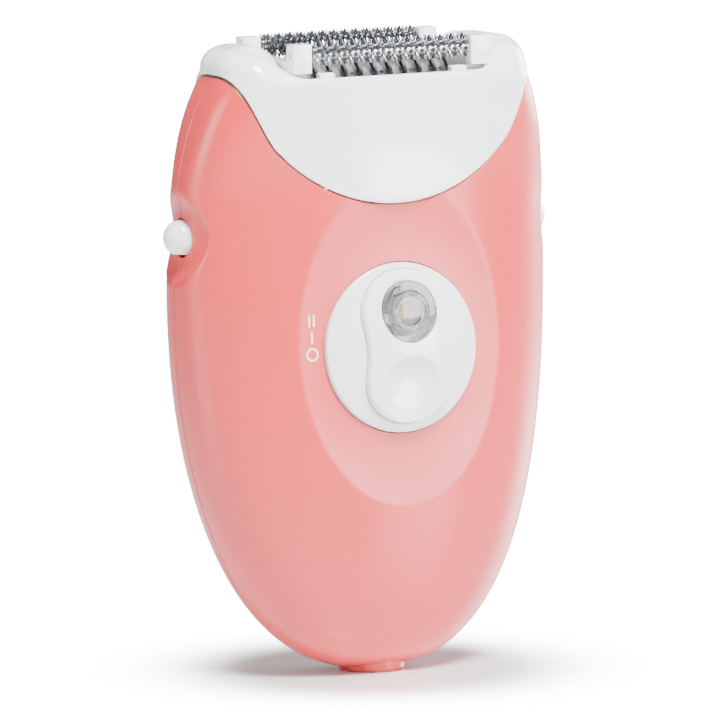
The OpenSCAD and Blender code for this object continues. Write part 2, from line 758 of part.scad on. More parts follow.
module fixed_tweezers() {
    color("silver") for (i = [0:tweezer_pairs - 1]) difference() {
        translate([disc_x(i), head_y, drum_z]) rotate([90, 0, 90]) linear_extrude(disc_t) disc_outline(tweezer_r);
        along_x(-20, 20, head_y, drum_z, 3.2);
        for (a = [0:rods - 1]) rod_line(a, rod_r + 0.12);
    }
}
module moving_tweezers() {
    color("silver") for (i = [0:tweezer_pairs - 1]) difference() {
        translate([disc_x(i) + disc_t + disc_open, head_y, drum_z]) rotate([90, 0, 90]) linear_extrude(disc_t)
            disc_outline(tweezer_r);
        along_x(-20, 20, head_y, drum_z, 3.3);
        for (a = [0:rods - 1]) rod_line(a, rod_r);
    }
}
module clamp_rods() {
    color("#C9CCD0") for (a = [0:rods - 1]) {
        turn = 45 + 90 * a;
        along_x(-drum_half + 0.3, drum_half - 0.1, head_y + rod_at * cos(turn), drum_z + rod_at * sin(turn), rod_r);
    }
}
module drum_axle() {
    color("silver") along_x(-plate_out, gear_x1 + 0.3, head_y, drum_z, drum_axle_r);
}
module drum_gear() {
    color("#E9E4D6") spur_along_x(gear_x0, gear_x1, head_y, drum_z, drum_teeth, spur_m, drum_axle_r + 0.01,
        train_lean + 180 + half_tooth_drum);
}

front_shell();
rear_shell();
foot_ring();
socket_block();
contact_sleeves();
socket_leads();
circuit_board();
board_parts();
led();
switch_dial();
dial_insert();
led_window();
dial_spindle();
release_button(-1);  // release_button_left
release_button(1);  // release_button_right
button_spring(-1);  // button_spring_left
button_spring(1);  // button_spring_right
gear_chassis();
chassis_screws();
motor_can();
motor_end_cap();
motor_magnets();
motor_bushes();
motor_terminals();
motor_armature();
motor_shaft();
motor_pinion();
crown_gear();
crown_axle();
transfer_pinion();
chassis_bushes();
idler_pin();
idler_gear();
head_cap();
roller_carrier();
drum_bushes();
roller_axle(-1);  // roller_axle_front
roller_axle(1);  // roller_axle_rear
massage_roller(-1);  // massage_roller_front
massage_roller(1);  // massage_roller_rear
drum_core();
drum_axle();
drum_gear();
fixed_tweezers();
moving_tweezers();
clamp_rods();
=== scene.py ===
import math

import bmesh
import bpy
import numpy as np
from mathutils import Matrix, Quaternion, Vector


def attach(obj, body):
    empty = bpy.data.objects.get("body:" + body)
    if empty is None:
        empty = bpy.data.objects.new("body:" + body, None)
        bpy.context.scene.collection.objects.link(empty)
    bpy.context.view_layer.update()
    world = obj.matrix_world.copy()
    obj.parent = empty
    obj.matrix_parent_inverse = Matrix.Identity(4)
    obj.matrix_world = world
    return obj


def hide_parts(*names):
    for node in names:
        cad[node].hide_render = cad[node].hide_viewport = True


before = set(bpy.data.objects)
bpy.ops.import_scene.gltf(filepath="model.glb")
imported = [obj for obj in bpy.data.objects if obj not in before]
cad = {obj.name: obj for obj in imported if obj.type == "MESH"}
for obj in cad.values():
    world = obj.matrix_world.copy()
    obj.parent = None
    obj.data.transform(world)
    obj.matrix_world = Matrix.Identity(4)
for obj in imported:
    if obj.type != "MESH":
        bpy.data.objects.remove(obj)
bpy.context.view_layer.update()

# ---------------------------------------------------------------------------
# Studio: a white table that runs out of sight, a white room, a softbox high in
# front, one low at the front right, a strip at the right and a fill at the left.
# The camera stands 1.67 m away, to the left of the front and a little above.
# ---------------------------------------------------------------------------
MM = 0.001
BACKDROP_WHITE, ROOM_LIGHT = 16.0, 0.3
AIM = Vector((0.915, 5.0, 55.26)) * MM
LENS, CAMERA_AZ, CAMERA_EL, CAMERA_ROLL, CAMERA_AWAY = 464.4, -28.82, 7.03, -0.5, 1.672


def linear(code):
    """An sRGB colour such as #F0A099, as the linear numbers that a shader takes."""
    parts = [int(code[i:i + 2], 16) / 255 for i in (1, 3, 5)]
    return [c / 12.92 if c <= 0.04045 else ((c + 0.055) / 1.055) ** 2.4 for c in parts] + [1.0]


def add(tree, kind, inputs=None, **settings):
    """Adds a node with its settings, and sets or links each of its inputs."""
    node = tree.nodes.new(kind)
    for name, value in settings.items():
        setattr(node, name, value)
    for key, value in (inputs or {}).items():
        if isinstance(value, bpy.types.NodeSocket):
            tree.links.new(value, node.inputs[key])
        else:
            node.inputs[key].default_value = value
    return node


def start_material(name, color, roughness, **sockets):
    """A new material with one Principled shader: gives the material, its tree and the shader."""
    material = bpy.data.materials.new(name)
    material.use_nodes = True
    tree = material.node_tree
    tree.nodes.clear()
    shader = add(tree, "ShaderNodeBsdfPrincipled", {"Base Color": linear(color), "Roughness": roughness})
    for key, value in sockets.items():
        shader.inputs[key.replace("_", " ")].default_value = value
    add(tree, "ShaderNodeOutputMaterial", {"Surface": shader.outputs["BSDF"]})
    return material, tree, shader


# White gloss laminate. It is polished round the foot, and runs into plain white light further out.
table_white, tree, shader = start_material("table_white_gloss_laminate", "#F4F4F4", 0.07)
speck = add(tree, "ShaderNodeTexNoise", {"Scale": 900.0, "Detail": 2.0})
grain = add(tree, "ShaderNodeBump", {"Height": speck.outputs["Fac"], "Strength": 0.02, "Distance": 0.0001})
tree.links.new(grain.outputs["Normal"], shader.inputs["Normal"])
spot = add(tree, "ShaderNodeTexCoord").outputs["Object"]
tree.links.new(spot, speck.inputs["Vector"])
shader.inputs["Specular IOR Level"].default_value = 1.0
away = add(tree, "ShaderNodeVectorMath", {0: spot}, operation="LENGTH").outputs["Value"]
open_white = add(tree, "ShaderNodeMapRange", {"Value": away, "From Min": 0.02, "From Max": 0.055, "To Max": 1.0},
                 interpolation_type="SMOOTHERSTEP")
seen = add(tree, "ShaderNodeLightPath").outputs["Is Camera Ray"]
amount = add(tree, "ShaderNodeMath", {0: open_white.outputs["Result"], 1: seen}, operation="MULTIPLY")
glow = add(tree, "ShaderNodeEmission", {"Color": linear("#FFFFFF"), "Strength": BACKDROP_WHITE})
blend = add(tree, "ShaderNodeMixShader", {0: amount.outputs["Value"], 1: shader.outputs["BSDF"],
                                          2: glow.outputs["Emission"]})
tree.links.new(blend.outputs["Shader"], tree.nodes["Material Output"].inputs["Surface"])

bpy.ops.mesh.primitive_plane_add(size=12)
table = bpy.context.object
table.name = "table"
table.data.materials.append(table_white)

world = bpy.data.worlds.new("white_room")
bpy.context.scene.world = world
world.use_nodes = True
room = world.node_tree.nodes["Background"]
room.inputs["Color"].default_value = (1.0, 1.0, 1.0, 1.0)
lit = add(world.node_tree, "ShaderNodeLightPath").outputs["Is Camera Ray"]
bright = add(world.node_tree, "ShaderNodeMapRange", {"Value": lit, "To Min": ROOM_LIGHT,
                                                            "To Max": BACKDROP_WHITE})
world.node_tree.links.new(bright.outputs["Result"], room.inputs["Strength"])


def direction(azimuth, elevation):
    """The way from the object towards a place in degrees. Azimuth 0 is in front, + is the right."""
    az, el = math.radians(azimuth), math.radians(elevation)
    return Vector((math.cos(el) * math.sin(az), -math.cos(el) * math.cos(az), math.sin(el)))


def soft_light(name, azimuth, elevation, distance, size, power):
    """A square area light that looks at the middle of the object."""
    lamp = bpy.data.lights.new(name, "AREA")
    lamp.shape = "SQUARE"
    lamp.size = size
    lamp.energy = power
    light = bpy.data.objects.new(name, lamp)
    bpy.context.scene.collection.objects.link(light)
    away = direction(azimuth, elevation)
    light.location = AIM + away * distance
    light.rotation_euler = away.to_track_quat("Z", "Y").to_euler()


soft_light("high_softbox", -4, 60, 0.9, 0.3, 31.0)
soft_light("right_strip", 105, 15, 0.7, 0.4, 8.0)
soft_light("front_right_softbox", 33, 8, 0.6, 0.2, 2.5)
soft_light("left_fill", -95, 12, 1.0, 0.4, 4.0)

camera = bpy.data.objects.new("camera", bpy.data.cameras.new("camera"))
bpy.context.scene.collection.objects.link(camera)
camera.data.lens = LENS
camera.data.sensor_width = 36.0
camera.data.clip_end = 20.0
stand = direction(CAMERA_AZ, CAMERA_EL)
camera.location = AIM + stand * CAMERA_AWAY
roll = Quaternion((0, 0, 1), math.radians(CAMERA_ROLL))
camera.rotation_euler = (stand.to_track_quat("Z", "Y") @ roll).to_euler()
bpy.context.scene.camera = camera

# ---------------------------------------------------------------------------
# Grip shells: two injection-moulded ABS halves with a pearl pigment, joined
# round a parting line that bows to the rear. The front one has a thumb dish and
# the dial's hole; both are scooped round the release buttons.
# ---------------------------------------------------------------------------
# All lengths are in millimetres. The half width runs from BOTTOM to WIDEST, then CROWN further up.
GRIP_W, WIDEST, BOTTOM, CROWN, EGG_POWER = 37.0, 76.6, 0.4, 47.9, 2.42
# Deepest point, depth at the top and height of the deepest point, for the front and the rear.
FRONT_DEPTH, REAR_DEPTH, DEPTH_TOP_Z = (18.7, 13.3, 50.8), (15.5, 12.4, 64.4), 112
WALL, PARTING_GAP = 1.8, 0.03
BUTTON_Z, SCOOP_R, SCOOP_DEPTH = 79.6, 7.8, 1.5
DISH_HALF_W, DISH_HALF_H, DISH_Z, DISH_DEPTH = 20.5, 29, 60, 1.5
DIAL_Z, DIAL_Y, DIAL_TILT = 59.4, -12.2, math.radians(4)
# The head cap's tongue is an arc about TONGUE_MID, up to TONGUE_X, and then a sweep up to HORN_Z.
TONGUE_MID, TONGUE_R, TONGUE_X, HORN_Z, HORN_RUN, HORN_POWER = 116.9, 31.7, 22.9, 111, 11, 1.31


def egg(u):
    """A rounded end: 1 at u = 0, falling to 0 at u = 1."""
    return np.clip(1 - np.clip(u, 0, 1) ** EGG_POWER, 0, None) ** (1 / EGG_POWER)


def ease(u):
    """A smooth step from 0 to 1."""
    v = np.clip(u, 0, 1)
    return v * v * (3 - 2 * v)


def half_w(z):
    """Half the grip's width at a height."""
    return GRIP_W * np.where(z < WIDEST, egg((WIDEST - z) / (WIDEST - BOTTOM)), egg((z - WIDEST) / CROWN))


def bow_y(z):
    """The parting line's y at a height: it bows to the rear."""
    return 5 - 0.0014 * (z - 60) ** 2


def swell(z, deep, top, at):
    """Depth of one half: deep at the height at, rounded below it and easing to top above it."""
    low = deep * egg((at - z) / (at - BOTTOM))
    high = top + (deep - top) * (1 + np.cos(np.pi * np.clip((z - at) / (DEPTH_TOP_Z - at), 0, 1))) / 2
    return np.where(z < at, low, high)


def depth(z, side):
    """Depth of the rear half (side 1) or the front half (side -1) at a height."""
    return np.where(side > 0, swell(z, *REAR_DEPTH), swell(z, *FRONT_DEPTH))


def dish(x, z):
    """How far the shallow thumb dish sinks the front skin."""
    bowl = (x / DISH_HALF_W) ** 2 + ((z - DISH_Z) / DISH_HALF_H) ** 2
    return DISH_DEPTH * (1 - np.clip(bowl, 0, 1) ** 2)


def spow(v, e):
    """A power that keeps the sign."""
    return np.sign(v) * np.abs(v) ** e


def level_n(z):
    """How squarely a level is rounded: it grows towards the head."""
    return 2.3 + 0.8 * ease((z - 85) / 22)


def grip_skin(angle, z, side, inset=0.0):
    """Points of one half: angle runs from the right flank (0) round to the left one (pi)."""
    x = (half_w(z) - inset) * spow(np.cos(angle), 2 / level_n(z))
    y = side * (depth(z, side) - inset) * np.sin(angle) ** (2 / level_n(z))
    near = (y ** 2 + (z - BUTTON_Z) ** 2) / SCOOP_R ** 2
    x = x - np.sign(x) * SCOOP_DEPTH * (1 - np.clip(near, 0, 1) ** 2)
    if side < 0:
        y = y + dish(x, z)
    return np.stack([x, bow_y(z) + y, z], axis=-1)


def cap_low(x):
    """Edge between the grip and the head cap: a round tongue that sweeps up to the flanks."""
    ax = np.abs(x)
    tongue = TONGUE_MID - np.sqrt(TONGUE_R ** 2 - np.minimum(ax, TONGUE_X) ** 2)
    rise = HORN_Z - (TONGUE_MID - math.sqrt(TONGUE_R ** 2 - TONGUE_X ** 2))
    return tongue + rise * np.sin(np.pi / 2 * np.clip((ax - TONGUE_X) / HORN_RUN, 0, 1) ** HORN_POWER)


def solve_up(low, high, above):
    """For each column, the height between low and high where above(z) turns true."""
    for _ in range(40):
        mid = (low + high) / 2
        over = above(mid)
        high = np.where(over, mid, high)
        low = np.where(over, low, mid)
    return (low + high) / 2


def lattice(name, points, close_rows=False, close_cols=False):
    """A mesh of four-sided faces over an array of points (rows, columns, 3) in millimetres."""
    rows, cols = points.shape[:2]
    number = np.arange(rows * cols).reshape(rows, cols)
    a = number if close_rows else number[:-1]
    b = np.roll(number, -1, 0) if close_rows else number[1:]
    if close_cols:
        quads = np.stack([a, np.roll(a, -1, 1), np.roll(b, -1, 1), b], -1)
    else:
        quads = np.stack([a[:, :-1], a[:, 1:], b[:, 1:], b[:, :-1]], -1)
    mesh = bpy.data.meshes.new(name)
    mesh.from_pydata((points.reshape(-1, 3) * MM).tolist(), [], quads.reshape(-1, 4).tolist())
    piece = bpy.data.objects.new(name, mesh)
    bpy.context.scene.collection.objects.link(piece)
    return piece


def tidy(piece, merge=0.002, angle=32, outward=True):
    """Merges doubles, turns the faces outwards and shades smooth up to an angle."""
    work = bmesh.new()
    work.from_mesh(piece.data)
    bmesh.ops.remove_doubles(work, verts=work.verts, dist=merge * MM)
    if outward:
        bmesh.ops.recalc_face_normals(work, faces=work.faces)
    work.to_mesh(piece.data)
    work.free()
    piece.data.shade_smooth()
    piece.data.set_sharp_from_angle(angle=math.radians(angle))
    return piece


def settle(piece):
    """Turns a piece's modifiers into plain mesh and takes them off."""
    seen = bpy.context.evaluated_depsgraph_get()
    mesh = bpy.data.meshes.new_from_object(piece.evaluated_get(seen))
    old = piece.data
    piece.modifiers.clear()
    piece.data = mesh
    bpy.data.meshes.remove(old)
    return piece


def rod(name, start, end, radius, steps=96):
    """A plain closed cylinder between two points, in millimetres, used as a cutter or a base."""
    work = bmesh.new()
    start, end = Vector(start), Vector(end)
    way = end - start
    place = Matrix.Translation((start + end) / 2 * MM) @ way.to_track_quat("Z", "Y").to_matrix().to_4x4()
    bmesh.ops.create_cone(work, cap_ends=True, segments=steps, radius1=radius * MM, radius2=radius * MM,
                          depth=way.length * MM, matrix=place)
    mesh = bpy.data.meshes.new(name)
    work.to_mesh(mesh)
    work.free()
    piece = bpy.data.objects.new(name, mesh)
    bpy.context.scene.collection.objects.link(piece)
    return piece


def cut(piece, cutters):
    """Cuts each cutter out of a piece and removes the cutters."""
    for cutter in cutters:
        step = piece.modifiers.new("cut", "BOOLEAN")
        step.operation = "DIFFERENCE"
        step.solver = "EXACT"
        step.object = cutter
    settle(piece)
    for cutter in cutters:
        bpy.data.objects.remove(cutter)
    return piece


def lip(distance, radius):
    """How far a moulded edge rolls in at a distance from it."""
    d = np.clip(radius - distance, 0, radius)
    return radius - np.sqrt(radius ** 2 - d ** 2)


dial_out = Vector((0, -math.cos(DIAL_TILT), math.sin(DIAL_TILT)))
dial_up = Vector((0, math.sin(DIAL_TILT), math.cos(DIAL_TILT)))
dial_at = Vector((0, DIAL_Y, DIAL_Z))


def on_dial(x, y, z):
    """A point given across, up and out of the dial's face."""
    return dial_at + Vector((1, 0, 0)) * x + dial_up * y + dial_out * z


# Satin ABS with a fine pearl: a coral base that lightens where the skin turns away, a faint
# cloud in the pigment and a very fine moulded grain.
coral_abs, tree, shader = start_material("satin_pearl_abs_coral", "#D4292A", 0.34, Coat_Weight=0.5,
                                         Coat_Roughness=0.24)
shader.inputs["Sheen Weight"].default_value = 0.05
shader.inputs["Sheen Roughness"].default_value = 0.35
shader.inputs["Sheen Tint"].default_value = linear("#FFE9E6")
shader.inputs["Subsurface Weight"].default_value = 0.12
shader.inputs["Subsurface Radius"].default_value = (0.0025, 0.001, 0.0008)
shader.inputs["Subsurface Scale"].default_value = 1.0
place = add(tree, "ShaderNodeTexCoord")
cloud = add(tree, "ShaderNodeTexNoise", {"Vector": place.outputs["Object"], "Scale": 45.0, "Detail": 3.0})
pearl = add(tree, "ShaderNodeTexNoise", {"Vector": place.outputs["Object"], "Scale": 2600.0, "Detail": 1.0})
mixed = add(tree, "ShaderNodeMath", {0: cloud.outputs["Fac"], 1: pearl.outputs["Fac"]}, operation="ADD")
ramp = add(tree, "ShaderNodeValToRGB", {"Fac": mixed.outputs["Value"]})
ramp.color_ramp.elements[0].position = 0.25
ramp.color_ramp.elements[0].color = linear("#D22325")
ramp.color_ramp.elements[1].position = 0.9
ramp.color_ramp.elements[1].color = linear("#D9383B")
tree.links.new(ramp.outputs["Color"], shader.inputs["Base Color"])
grain = add(tree, "ShaderNodeBump", {"Height": pearl.outputs["Fac"], "Strength": 0.05, "Distance": 0.00004})
tree.links.new(grain.outputs["Normal"], shader.inputs["Normal"])

# Steps down from the top edge, and the angles round a half, closer together at the parting line.
EDGE, EDGE_LIP, PARTING_LIP = [0.0, 0.04, 0.1, 0.18, 0.28, 0.42, 0.7], 0.3, 0.28
SEAM_GAP, FOOT_R, BUTTON_HOLE_R, DIAL_HOLE_R = 0.2, 6.06, 3.55, 15.4
flank = np.radians([0.0, 0.04, 0.12, 0.25, 0.42, 0.7, 1.1, 1.7])
front = np.linspace(math.radians(2.6), math.pi - math.radians(2.6), 150)
angles = np.concatenate([flank, front, math.pi - flank[::-1]])
for shell_name, side in (("front_shell_skin", -1), ("rear_shell_skin", 1)):
    top = solve_up(np.full_like(angles, 80.0), np.full_like(angles, 109.0),
                   lambda z: z > cap_low(half_w(z) * spow(np.cos(angles), 2 / level_n(z))) - SEAM_GAP)
    foot = solve_up(np.full_like(angles, BOTTOM), np.full_like(angles, 9.0),
                    lambda z: np.hypot(*grip_skin(angles, z, side)[:, :2].T) > FOOT_R)
    share = np.linspace(0, 1, 170)[:, None]
    body = foot + (top - 0.9 - foot) * (0.75 * share ** 2.2 + 0.25 * share)
    z = np.vstack([body, np.array([top - e for e in EDGE[::-1]])])
    a = np.broadcast_to(angles, z.shape)
    beside = depth(z, side) * np.sin(a) ** (2 / level_n(z))
    points = grip_skin(a, z, side, np.maximum(lip(top - z, EDGE_LIP), lip(beside, PARTING_LIP)))
    points[..., 1] += side * PARTING_GAP
    # The walk round a half runs from right to left, so the front half is turned round.
    shell = lattice(shell_name, points[:, ::-1] if side < 0 else points)
    shell.data.materials.append(coral_abs)
    tidy(shell, outward=False)
    thick = shell.modifiers.new("wall", "SOLIDIFY")
    thick.thickness = WALL * MM
    thick.offset = -1.0
    thick.use_even_offset = False
    settle(shell)
    cutters = []
    for hand in (-1, 1):
        y = float(bow_y(BUTTON_Z))
        cutters.append(rod("button_hole", (hand * 28, y, BUTTON_Z), (hand * 44, y, BUTTON_Z), BUTTON_HOLE_R))
    if side < 0:
        cutters.append(rod("dial_hole", on_dial(0, 0, -7), on_dial(0, 0, 7), DIAL_HOLE_R, 192))
    cut(shell, cutters)
    tidy(shell, outward=False, merge=0.0005)
    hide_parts("front_shell" if side < 0 else "rear_shell")
    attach(shell, "grip")

# ---------------------------------------------------------------------------
# Foot and inlet: a coral ABS collar pressed into the grip's bottom, the black
# nylon block inside it, two turned brass sleeves and their leads.
# ---------------------------------------------------------------------------
def rounded(corners, steps=5):
    """A closed outline from corners (x, y, radius), with an arc at each corner that has a radius."""
    out = []
    for i, (x, y, radius) in enumerate(corners):
        here = np.array([x, y], float)
        a = np.array(corners[i - 1][:2], float) - here
        b = np.array(corners[(i + 1) % len(corners)][:2], float) - here
        la, lb = np.linalg.norm(a), np.linalg.norm(b)
        a, b = a / la, b / lb
        half = math.acos(max(-1.0, min(1.0, float(a @ b)))) / 2
        if radius == 0 or half > 1.55:
            out.append(here)
            continue
        reach = min(radius / math.tan(half), 0.48 * la, 0.48 * lb)
        radius = reach * math.tan(half)
        middle = here + (a + b) / np.linalg.norm(a + b) * radius / math.sin(half)
        sweep = math.pi - 2 * half
        first, last = here + a * reach - middle, here + b * reach - middle
        for k in range(steps + 1):
            t = k / steps
            swung = first * math.sin((1 - t) * sweep) + last * math.sin(t * sweep)
            out.append(middle + swung / math.sin(sweep))
    return np.array(out)


def lathe(name, outline, place=None, steps=128):
    """Turns a closed outline of (radius, height) about an axis. place maps (x, y, z) to millimetres."""
    turn = np.linspace(0, 2 * math.pi, steps, endpoint=False)
    r, h = outline[:, 0:1], outline[:, 1:2]
    points = np.stack([r * np.cos(turn), r * np.sin(turn), h + 0 * turn], -1)
    if place:
        flat = [list(place(*map(float, p))) for p in points.reshape(-1, 3)]
        points = np.array(flat).reshape(points.shape)
    return tidy(lattice(name, points, close_rows=True, close_cols=True))


def moulded(name, color, roughness, scale=600.0, bump=0.03, spread=0.04, **sockets):
    """A moulded plastic: a faint cloud in the colour and in the gloss, and a fine surface grain."""
    material, tree, shader = start_material(name, color, roughness, **sockets)
    where = add(tree, "ShaderNodeTexCoord")
    cloud = add(tree, "ShaderNodeTexNoise", {"Vector": where.outputs["Object"], "Scale": 60.0, "Detail": 3.0})
    shade = add(tree, "ShaderNodeHueSaturation", {"Color": linear(color)})
    value = add(tree, "ShaderNodeMapRange", {"Value": cloud.outputs["Fac"], "To Min": 1 - spread,
                                             "To Max": 1 + spread})
    tree.links.new(value.outputs["Result"], shade.inputs["Value"])
    tree.links.new(shade.outputs["Color"], shader.inputs["Base Color"])
    gloss = add(tree, "ShaderNodeMapRange", {"Value": cloud.outputs["Fac"], "To Min": roughness * 0.85,
                                             "To Max": roughness * 1.2})
    tree.links.new(gloss.outputs["Result"], shader.inputs["Roughness"])
    fine = add(tree, "ShaderNodeTexNoise", {"Vector": where.outputs["Object"], "Scale": scale, "Detail": 2.0})
    grain = add(tree, "ShaderNodeBump", {"Height": fine.outputs["Fac"], "Strength": bump, "Distance": 0.00005})
    tree.links.new(grain.outputs["Normal"], shader.inputs["Normal"])
    return material


def metal(name, color, roughness, stretch=(1.0, 1.0, 1.0), scale=900.0, bump=0.05):
    """A bare metal: its gloss and surface vary with a noise that stretch draws out into tool marks."""
    material, tree, shader = start_material(name, color, roughness, Metallic=1.0)
    where = add(tree, "ShaderNodeTexCoord")
    drawn = add(tree, "ShaderNodeMapping", {"Vector": where.outputs["Object"], "Scale": stretch})
    marks = add(tree, "ShaderNodeTexNoise", {"Vector": drawn.outputs["Vector"], "Scale": scale, "Detail": 4.0})
    gloss = add(tree, "ShaderNodeMapRange", {"Value": marks.outputs["Fac"], "To Min": roughness * 0.6,
                                             "To Max": roughness * 1.5})
    tree.links.new(gloss.outputs["Result"], shader.inputs["Roughness"])
    grain = add(tree, "ShaderNodeBump", {"Height": marks.outputs["Fac"], "Strength": bump, "Distance": 0.00004})
    tree.links.new(grain.outputs["Normal"], shader.inputs["Normal"])
    return material


def finish_nodes(material, *names):
    """Gives CAD nodes that keep their shape their finished material."""
    for name in names:
        slots = cad[name].data.materials
        slots.clear()
        slots.append(material)


def fit(piece, material, body, slot, *replaced):
    """Gives a piece its material, its body and the CAD nodes that it stands for. The slot argument is not used."""
    piece.data.materials.clear()
    piece.data.materials.append(material)
    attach(piece, body)
    if replaced:
        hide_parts(*replaced)
    return piece


collar = rounded([(6.0, 0, 0.45), (6.0, 4.4, 0.2), (5.2, 4.4, 0), (5.2, 3.0, 0), (4.6, 3.0, 0.05),
                  (4.6, 0, 0.4)])
fit(lathe("foot_collar", collar), coral_abs, "grip", "coral_shell", "foot_ring")
# Black glass-filled nylon, moulded, with a dull fine grain.
black_nylon = moulded("moulded_black_nylon", "#2E2E30", 0.5, bump=0.08)
finish_nodes(black_nylon, "socket_block", "motor_end_cap")
# Turned brass with fine rings.
turned_brass = metal("turned_brass", "#C9A24B", 0.25, (1.0, 1.0, 8.0))
finish_nodes(turned_brass, "contact_sleeves", "motor_terminals", "motor_pinion")
# Extruded red PVC lead covering.
finish_nodes(moulded("extruded_red_pvc", "#B8322E", 0.4), "socket_leads")

# ---------------------------------------------------------------------------
# Switch marks: O, I and II in white ink, pad printed beside the dial. They lie
# on the front shell and ride with it.
# ---------------------------------------------------------------------------
def front_y(x, z):
    """The front skin's y at a place seen from the front."""
    half = half_w(z)
    n = level_n(z)
    y = -depth(z, -1) * (1 - (np.abs(x) / half) ** n) ** (1 / n)
    return bow_y(z) + y + dish(x, z)


def printed(name, rows):
    """A thin print on the front skin: rows are equal-length lists of (x, z) points."""
    flat = np.array(rows, float)
    y = front_y(flat[..., 0], flat[..., 1]) - PRINT_RISE
    return fit(tidy(lattice(name, np.stack([flat[..., 0], y, flat[..., 1]], -1)), outward=False),
               print_ink, "grip", "white_gloss")


# White pad-printing ink, slightly raised and semi-matt.
print_ink = moulded("pad_print_white_ink", "#FFF6F4", 0.45, scale=2500.0)
MARK_X, MARK_Z, STEP_Z, PRINT_RISE = -17.65, 65.1, 3.0, 0.09
BAR_HALF_W, BAR_HALF_H, RING_OUTER, RING_INNER = 0.17, 1.05, 1.2, 0.9
for name, x, z in (("mark_two_left", MARK_X - 0.45, MARK_Z), ("mark_two_right", MARK_X + 0.45, MARK_Z),
                   ("mark_one", MARK_X, MARK_Z - STEP_Z)):
    printed(name, [[(x + dx, z + dz) for dz in np.linspace(-BAR_HALF_H, BAR_HALF_H, 8)]
                   for dx in (-BAR_HALF_W, BAR_HALF_W)])
turn = np.linspace(0, 2 * math.pi, 49)
printed("mark_off", [[(MARK_X + r * math.cos(t), MARK_Z - 2 * STEP_Z + r * math.sin(t)) for t in turn]
                     for r in (RING_OUTER, RING_INNER)])

# ---------------------------------------------------------------------------
# Switch dial: a domed gloss-white disc with a pip, a raised figure-of-eight
# insert with a thumb hollow, a clear acrylic window and a 5 mm lamp behind it.
# ---------------------------------------------------------------------------
DIAL_R, DOME_RISE, RIM_ROUND = 15.2, 3.0, 0.5
WINDOW_UP, WINDOW_R, SEAT_R, HOLE_R, WELL_R = 6.5, 5.55, 5.65, 5.62, 4.5
PIP_X, PIP_Y, PIP_R, PIP_RISE = -13.6, 0.7, 0.5, 0.22
INSERT_R, LOBE_UP, LOBE_DOWN, UPPER_EXTRA, PINCH = 8.9, 5.0, 4.7, 0.2, 0.9
INSERT_RISE, HOLLOW_R, HOLLOW_DOWN, HOLLOW_DEPTH, POCKET_GAP = 1.2, 6.1, 7.4, 1.7, 0.14
DOME = (DIAL_R ** 2 + DOME_RISE ** 2) / (2 * DOME_RISE)


def dome(r2, lift=0.0):
    """Height of the dial's dome over its rim at a squared radius."""
    return DOME_RISE - DOME + np.sqrt((DOME + lift) ** 2 - r2)


# High-gloss white ABS: almost even, with a thin clear skin and a whisper of flow marks.
white_abs = moulded("gloss_white_abs", "#F4F3F2", 0.16, scale=300.0, bump=0.012, spread=0.012,
                    Coat_Weight=0.4, Coat_Roughness=0.06, Subsurface_Weight=0.06)
flat_r = DIAL_R - RIM_ROUND
tops = [(r, float(dome(r * r))) for r in np.linspace(0, flat_r, 40)]
rim = [(flat_r + RIM_ROUND * math.sin(a), float(dome(flat_r ** 2)) - RIM_ROUND * (1 - math.cos(a)))
       for a in np.linspace(0.25, math.pi / 2, 6)]
face = np.array(tops + rim + [(DIAL_R, -2), (DIAL_R - 1.6, -2), (DIAL_R - 1.6, -0.6), (0, -0.6)])
disc = lathe("dial_disc", face, on_dial, 192)
pip_at = float(dome(PIP_X ** 2))
pip = np.array([(r, pip_at + PIP_RISE * math.sqrt(max(0, 1 - (r / PIP_R) ** 2)) - 0.02)
                for r in np.linspace(0, PIP_R, 8)] + [(PIP_R, pip_at - 0.3), (0, pip_at - 0.3)])
pip_piece = lathe("dial_pip", pip, lambda x, y, z: on_dial(x + PIP_X, y - PIP_Y, z), 32)
fit(pip_piece, white_abs, "dial", "white_gloss")


def stadium(inset):
    """Outline of the insert: two round lobes, with a waist pinched into its left side."""
    r = INSERT_R - inset
    big = r + UPPER_EXTRA
    quarter = np.linspace(0, math.pi / 2, 40)
    right = [(big * math.sin(a), LOBE_UP + big * math.cos(a)) for a in quarter]
    flanks = [(r + UPPER_EXTRA * (y + LOBE_DOWN) / (LOBE_UP + LOBE_DOWN), y)
              for y in np.linspace(LOBE_UP, -LOBE_DOWN, 30)[1:-1]]
    down = [(r * math.cos(a), -LOBE_DOWN - r * math.sin(a)) for a in quarter]
    half = np.array(right + flanks + down)
    other = half[::-1][1:-1] * [-1, 1]
    pinch = PINCH * np.exp(-((other[:, 1] + 0.6) / 5.5) ** 2) * np.clip(-other[:, 0] / 5, 0, 1)
    other[:, 0] += pinch
    return np.vstack([half, other])


# The disc has a pocket for the insert, a seat for the window and a well for the lamp.
pocket_ring = stadium(-POCKET_GAP)
pocket = [[list(on_dial(float(x), float(y), z)) for x, y in pocket_ring * scale]
          for scale, z in ((0.001, 0.0), (1, 0.0), (1, 8.0), (0.001, 8.0))]
cut(disc, [tidy(lattice("insert_pocket", np.array(pocket), close_cols=True))])
cut(disc, [rod("window_seat", on_dial(0, WINDOW_UP, 0.2), on_dial(0, WINDOW_UP, 12), SEAT_R),
           rod("lamp_well", on_dial(0, WINDOW_UP, -4), on_dial(0, WINDOW_UP, 2), WELL_R)])
fit(tidy(disc, outward=False), white_abs, "dial", "white_gloss", "switch_dial")


def insert_top(flat):
    """Height of the insert's top face, with the thumb hollow pressed into its lower lobe."""
    x, y = flat[..., 0], flat[..., 1]
    bowl = np.clip(1.08 * (1 - (x ** 2 + (y + HOLLOW_DOWN) ** 2) / HOLLOW_R ** 2), 0, 1)
    bowl = bowl * (0.3 + 1.0 * ease((y + 13.6) / 11.0))
    return dome(x ** 2 + y ** 2, INSERT_RISE) - HOLLOW_DEPTH * bowl


